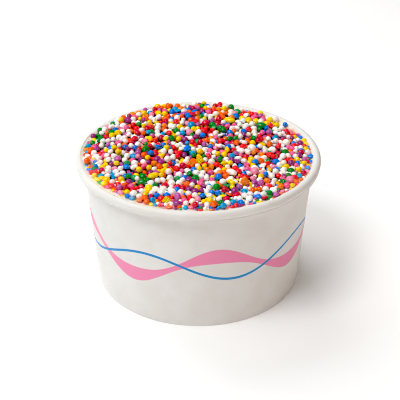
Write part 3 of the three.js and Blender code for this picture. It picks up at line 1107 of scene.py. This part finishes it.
def waffle(radius):
    """A small diamond of sugar shell with a waffle's pockets in both faces, and how deep each point
    lies in a pocket."""
    across = np.linspace(-1, 1, WAFFLE_STEPS + 1)
    u, v = np.meshgrid(across, across, indexing="ij")
    pocket = smoothstep(np.abs(np.cos(1.5 * math.pi * u) * np.cos(1.5 * math.pi * v)), 0.1, 0.6)
    rim = smoothstep(np.maximum(np.abs(u), np.abs(v)), 0.9, 1)
    x, y = WAFFLE_REACH * (u + v) / 2, WAFFLE_REACH * (v - u) / 2
    z = WAFFLE_HALF - WAFFLE_PIT * pocket - WAFFLE_BEVEL * rim
    top = np.stack([x, y, z], 2).reshape(-1, 3)
    index = np.arange(len(top)).reshape(u.shape)
    quads = np.stack([index[:-1, :-1], index[1:, :-1], index[1:, 1:], index[:-1, 1:]], 2).reshape(-1, 4)
    border = np.concatenate([index[:-1, 0], index[-1, :-1], index[:0:-1, -1], index[0, :0:-1]])
    after = np.roll(border, -1)
    sides = np.stack([border, border + len(top), after + len(top), after], 1)
    quads = np.concatenate([quads, quads[:, ::-1] + len(top), sides])
    points = np.concatenate([top, top * [1, 1, -1]]) * radius
    return points, np.concatenate([quads[:, [0, 1, 2]], quads[:, [0, 2, 3]]]), np.tile(pocket.ravel(), 2)


def berry(random, radius):
    """Many small balls grown together."""
    parts = [(COARSE_BALL[0] * 0.7 * radius, COARSE_BALL[1])]
    for _ in range(9):
        size = radius * random.uniform(0.34, 0.5)
        points = lumpy(random, COARSE_BALL[0], 0.02) * size + 0.62 * radius * random_direction(random)
        parts.append((points, COARSE_BALL[1]))
    return parts


def bead_parts(random, bead):
    """Points and faces of one bead's parts, round its own middle, and how deep a waffle's pits are."""
    radius, form = bead["radius"], bead["form"]
    hidden = bead["depth"] > DEEP or form == "sunk"
    turned_by = math.radians(bead["turn"]) if "turn" in bead else 2 * math.pi * random.random()
    if form == "chip":
        return [chip(random, radius)]
    if form == "waffle":
        points, faces, pits = waffle(radius)
        return [(points @ (lay_down(WAFFLE_TILT) @ turn_about_z(turned_by)).T, faces, pits)]
    if form == "berry":
        return berry(random, radius)
    ball, faces = COARSE_BALL if hidden else DENSE_BALL if form in ("dimpled", "lump") else FINE_BALL
    if form == "melted":
        melted = bead["melted"]
        wide = np.array([1 + 1.1 * melted * random.random(), 1.0, 0.9 - 0.55 * melted])
        points = lumpy(random, ball, 0.04 + 0.03 * melted) * wide * radius
        along_edge = math.atan2(bead["at"][1], bead["at"][0]) + math.pi / 2
        return [(points @ turn_about_z(along_edge + 0.5 * random.normal()).T, faces)]
    uneven_by = ROUGH_UNEVEN if form in ("rough", "lump") else UNEVEN
    points = lumpy(random, ball, uneven_by, FINE_LUMPS if form == "rough" else COARSE_LUMPS)
    if form == "dimpled":
        points = dimple(random, points)
    stretch = np.array(STRETCHES.get(form, (1.0, 1.0, 1.0)))
    stretch = stretch + random.uniform(-STRETCH_VARIES, STRETCH_VARIES, 3)
    if form in STRETCHES:
        turn = turn_about_z(turned_by) @ lay_down(random.uniform(-0.4, 0.4))
    else:
        turn = random_turn(random)
    parts = [((points * stretch * radius) @ turn.T, faces)]
    if "twin" in bead:
        place, size = bead["twin"]
        points = lumpy(random, ball, 0.03) * size
        parts.append((points @ turn.T + (place - bead["at"]), faces))
    return parts


def bead_tint(random, bead):
    """A bead's own colour. Melted ones have lost some of theirs to the yogurt."""
    shade = pick(random, COLOURS[bead["colour"]][1])
    tint = np.clip(shade * random.uniform(0.94, 1.08) * random.uniform(0.97, 1.03, 3), 0, 0.97)
    washed = 0.2 * bead.get("melted", 0) * random.random()
    return tint * (1 - washed) + CREAM * washed


def make_beads(name, random, beads, material, mean_top):
    """One mesh piece of all the beads in a list. Deep between the others they are painted dark: painted
    shade. Their lower halves and a waffle's pockets get painted shade too.
    """
    points, faces, tints, start = [], [], [], 0
    for bead in beads:
        # painted shade: each bead's lower half is darkened, less for the light colours
        underside_shade = LIGHT_UNDERSIDE_SHADE if bead["colour"] in LIGHT_COLOURS else UNDERSIDE_SHADE
        for part_points, part_faces, *pits in bead_parts(random, bead):
            points.append(part_points + bead["at"])
            faces.append(part_faces + start)
            underside = smoothstep(-part_points[:, 2:] / bead["radius"], *UNDERSIDE_FROM_TO)
            # painted shade: a waffle's pockets are darkened
            pit_shaded = 1 - PIT_SHADE * pits[0][:, None] if pits else 1
            tints.append(bead["tint"] * (1 - underside_shade * underside) * pit_shaded)
            start += len(part_points)
    points = np.concatenate(points)
    # painted shade: beads are darker the deeper they lie below the heap's mean top
    buried = mean_top(points[:, 0], points[:, 1]) - points[:, 2]
    unshaded_share = 1 - DEEP_SHADE * smoothstep(buried, *DEEP_SHADE_DEPTHS)
    piece = mesh_object(name, points, np.concatenate(faces), smooth_below=BEAD_SHARP_DEG)
    # the tint layer holds each bead's own colour with painted shade
    paint(piece, "tint", np.concatenate(tints) * unshaded_share[:, None])
    piece.data.materials.append(material)
    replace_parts(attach(piece, "root"), "frozen_yogurt")


# ---- The yogurt ----
def dye_and_shade_colours(random, points, beads):
    """The yogurt's colour at each point of its surface: cream, with each bead's dye bled round it,
    and painted shade that makes it dark well under the heap."""
    touching = [b for b in beads if b["at"][2] - b["radius"] < yogurt_top(*b["at"][:2]) + DYE_REACHES_UP]
    places = np.array([b["at"][:2] for b in touching])
    radii = np.array([b["radius"] for b in touching])
    tints = np.array([b["tint"] for b in touching])
    colours = np.empty((len(points), 3))
    for start in range(0, len(points), BLOCK):
        block = points[start : start + BLOCK]
        away = np.linalg.norm(block[:, None, :2] - places[None], axis=2)
        weight = np.exp(-((np.maximum(away - DYE_FROM * radii, 0) / DYE_SPREAD) ** 2))
        total = weight.sum(1, keepdims=True)
        mixed = weight @ tints / np.maximum(total, 1e-6)
        cover = DYE_STRENGTH * (1 - np.exp(-DYE_FILLS * total))
        dyed = DYE_PURE * mixed + (1 - DYE_PURE) * CREAM
        colours[start : start + BLOCK] = CREAM * (1 - cover) + dyed * cover
    radius, angle = np.hypot(points[:, 0], points[:, 1]), np.arctan2(points[:, 1], points[:, 0])
    for _ in range(STAINS):
        place = 360 * random.random()
        distance = random.uniform(food_radius - STAINS_IN, food_radius + STAINS_OUT)
        width = random.uniform(*STAIN_WIDTHS)
        along = np.radians(turn_between(angle, place)) * food_radius / (width * random.uniform(1, 3))
        cover = random.uniform(*STAIN_COVERS) * np.exp(-(along**2) - ((radius - distance) / width) ** 2)
        tint = STAIN_TINTS[random.integers(len(STAIN_TINTS))]
        colours = colours * (1 - cover[:, None]) + tint * cover[:, None]
    # painted shade: the yogurt well inside the heap's edge is painted dark
    inside = heap_reach(points[:, 0], points[:, 1]) - np.hypot(points[:, 0], points[:, 1])
    heap_shade = smoothstep(inside, *SHADE_UNDER_HEAP_DEPTHS)[:, None]
    return colours * (1 - heap_shade) + SHADE_UNDER_HEAP * heap_shade


def make_yogurt(random, beads):
    """The yogurt fills the cup up to its domed surface, and clings to the wall all round. The smears
    use its material, which this returns."""
    inner = np.linspace(0, INNER_SHARE, INNER_RINGS)[1:]
    shares = np.concatenate([inner, np.linspace(OUTER_SHARE, 1, OUTER_RINGS)])
    floor = BASE_TOP + OVER_BASE
    heights = np.linspace(floor, RIM_TOP - SIDE_ENDS, SIDE_ROWS)
    sides = [[float(inner_face(z)) + WALL_OVERLAP, z] for z in heights]
    top = [[food_radius * share, RIM_TOP] for share in shares[::-1]]
    profile = [[0, floor], *sides, *top, [0, RIM_TOP]]
    on_top = len(sides) + 1

    def shape(radius, z, angle):
        radius, z = radius.copy(), z.copy()
        r, a = radius[on_top:], angle[on_top:]
        height = yogurt_surface(r * np.cos(a), r * np.sin(a))
        edge = inner_face(height[:1]) + EDGE_INTO_WALL
        widen = smoothstep(r / food_radius, EDGE_FROM, 1)
        radius[on_top:] = r * (edge / food_radius) ** widen
        z[on_top:] = height
        return uneven(radius, z, angle)

    yogurt = mesh_object("yogurt", *turned(profile, even_angles(YOGURT_TURN_STEPS), shape))
    weld(yogurt, YOGURT_SHARP_DEG)
    points = np.array([v.co for v in yogurt.data.vertices]) / MM
    # the dye layer also holds painted shade under the heap
    paint(yogurt, "dye", dye_and_shade_colours(random, points, beads))
    yogurt.data.materials.append(yogurt_material())
    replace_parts(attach(yogurt, "root"), "frozen_yogurt")
    return yogurt.data.materials[0]


def on_inner_face(angle, along, lift):
    """A point of the cup's inside, or lifted off it. Along is the way up from the foot of the roll,
    and on over the roll."""
    turn = np.maximum(along, 0) / ROLL_RADIUS
    below = np.minimum(along, 0)
    radius = roll_x - (ROLL_RADIUS + lift) * np.cos(turn) + wall_inner(roll_z + below) - wall_inner(roll_z)
    z = roll_z + (ROLL_RADIUS + lift) * np.sin(turn) + below
    radius, z = uneven(radius, z, angle)
    return np.stack([radius * np.cos(angle), radius * np.sin(angle), z], -1)


def make_smears(random, material):
    """Thin smears of dyed yogurt on the inside of the wall and rim."""
    rings, columns = np.linspace(0, 1, SMEAR_RINGS + 1)[1:], SMEAR_COLUMNS
    points, faces, dyes = [], [], []
    for degrees, along, half_long, half_wide, dye in SMEARS:
        start = len(points)
        turns = even_angles(columns)
        outline = np.ones(columns)
        for k in (2, 3, 5):
            outline += SMEAR_WAVINESS * random.normal() * np.sin(k * turns + 6 * random.random())
        for share in (0.001, *rings):
            reach = share * outline
            angle = math.radians(degrees) + half_long * reach * np.cos(turns) / food_radius
            lift = SMEAR_THICKNESS * (1 - share**2) - SMEAR_SUNK
            points += on_inner_face(angle, along + half_wide * reach * np.sin(turns), lift).tolist()
            paler = SMEAR_PALER * share
            dyes += [np.array(dye) * (1 - paler) + CREAM * paler] * columns
        for ring in range(len(rings)):
            for k in range(columns):
                a, b = start + ring * columns + k, start + ring * columns + (k + 1) % columns
                faces.append([a, b, b + columns, a + columns])
    smears = mesh_object("yogurt_smears", points, faces)
    paint(smears, "dye", np.array(dyes))
    smears.data.materials.append(material)
    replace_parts(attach(smears, "root"), "frozen_yogurt")


def make_food(camera):
    random = np.random.default_rng(SEED)
    heap = Heap()
    strays = stray_beads(random, heap, camera)
    beads = heap_of_beads(random, heap)
    mean_top = heap.mean_top()
    place_features(random, heap, beads, camera)
    beads += strays
    heap = settled(beads)
    beads += gap_beads(random, heap)
    melted = edge_beads(random, heap)
    for bead in beads + melted:
        bead["tint"] = bead_tint(random, bead)
    material = bead_material()
    for colour in COLOURS:
        of_colour = [b for b in beads if b["colour"] == colour]
        if colour == "white":
            odd = [b for b in of_colour if b["form"] != "round"]
            make_beads("beads_white_odd", random, odd, material, mean_top)
            of_colour = [b for b in of_colour if b["form"] == "round"]
        make_beads("beads_" + colour, random, of_colour, material, mean_top)
    make_beads("beads_sunk", random, melted, material, mean_top)
    yogurt_look = make_yogurt(random, beads + melted)
    make_smears(random, yogurt_look)


# ---- Camera, light and floor ----
def make_camera():
    """The camera stands at the front, so that the cup's middle falls on its pixel."""
    back = Vector((0, -math.cos(CAMERA_ELEVATION), math.sin(CAMERA_ELEVATION)))
    up = Vector((0, math.sin(CAMERA_ELEVATION), math.cos(CAMERA_ELEVATION)))
    right = Vector((1, 0, 0))
    middle = Vector((0, 0, RIM_TOP / 2))
    across = (PHOTO_WIDTH / 2 - CUP_MIDDLE_PIXEL[0]) / FOCAL_PIXELS
    above = (CUP_MIDDLE_PIXEL[1] - PHOTO_WIDTH / 2) / FOCAL_PIXELS
    ahead = -back + right * across + up * above
    data = bpy.data.cameras.new("camera")
    data.sensor_width = SENSOR
    data.lens = FOCAL_PIXELS * SENSOR / PHOTO_WIDTH
    data.clip_start, data.clip_end = 0.01, 20
    camera = bpy.data.objects.new("camera", data)
    camera.location = (middle + back * CAMERA_DISTANCE) * MM
    camera.rotation_euler = ahead.to_track_quat("-Z", "Y").to_euler()
    bpy.context.scene.collection.objects.link(camera)
    bpy.context.scene.camera = camera
    return camera


def under_pixel(camera, pixel, surface):
    """The point, in millimetres, where a pixel of the photograph shows the surface z = surface(x, y)."""
    seen = Vector((pixel[0] + 0.5 - PHOTO_WIDTH / 2, PHOTO_WIDTH / 2 - pixel[1] - 0.5, -FOCAL_PIXELS))
    ray = camera.rotation_euler.to_matrix() @ seen
    ray /= ray.z
    at = camera.location / MM
    for _ in range(SIGHT_STEPS):
        at = at + ray * (float(surface(at.x, at.y)) - at.z)
    return at


def area_light(name, azimuth, elevation, size, power, colour):
    """A square light that faces the cup. Azimuth is from the camera's side, positive to its right."""
    a, e = math.radians(azimuth), math.radians(elevation)
    toward = Vector((math.sin(a) * math.cos(e), -math.cos(a) * math.cos(e), math.sin(e)))
    data = bpy.data.lights.new(name, "AREA")
    data.size = size
    data.energy = power
    data.color = colour
    light = bpy.data.objects.new(name, data)
    light.visible_glossy = name == MIRRORED_LIGHT
    light.location = toward * LIGHT_DISTANCE
    light.rotation_euler = toward.to_track_quat("Z", "Y").to_euler()
    bpy.context.scene.collection.objects.link(light)


def make_studio():
    """Soft lights all round, a white backdrop that only the camera sees, and a white lit table."""
    for light in LIGHTS:
        area_light(*light)
    world = bpy.data.worlds.new("studio")
    world.use_nodes = True
    background = world.node_tree.nodes["Background"]
    background.inputs["Color"].default_value = (1.0, 1.0, 1.0, 1)
    background.inputs["Strength"].default_value = 1.0
    bpy.context.scene.world = world
    world.cycles_visibility.diffuse = False
    world.cycles_visibility.glossy = False
    corners = [[x * FLOOR_HALF, y * FLOOR_HALF, 0] for x, y in ((-1, -1), (1, -1), (1, 1), (-1, 1))]
    floor = mesh_object("floor", corners, [[0, 1, 2, 3]])
    m = Material("floor", Roughness=0.9, Specular_IOR_Level=0.1)
    distance = m.node("VectorMath", {0: m.place()}, operation="LENGTH").outputs["Value"]
    m.set("Emission Strength", m.ramp(distance, *FLOOR_GLOWS_FROM_TO, *FLOOR_GLOW))
    m.shader.inputs["Emission Color"].default_value = (1.0, 1.0, 1.0, 1)
    m.set("Base Color", m.mix(m.noise(400.0), srgb(246, 246, 246), srgb(250, 250, 250)))
    floor.data.materials.append(m.material)
    bpy.context.scene.cycles.filter_width = PIXEL_FILTER
    view = bpy.context.scene.view_settings
    view.view_transform = "Standard"
    view.use_curve_mapping = True
    view.curve_mapping.black_level = (BLACK_LEVEL,) * 3
    view.curve_mapping.update()


camera = make_camera()
make_studio()
make_wall()
make_base()
make_food(camera)
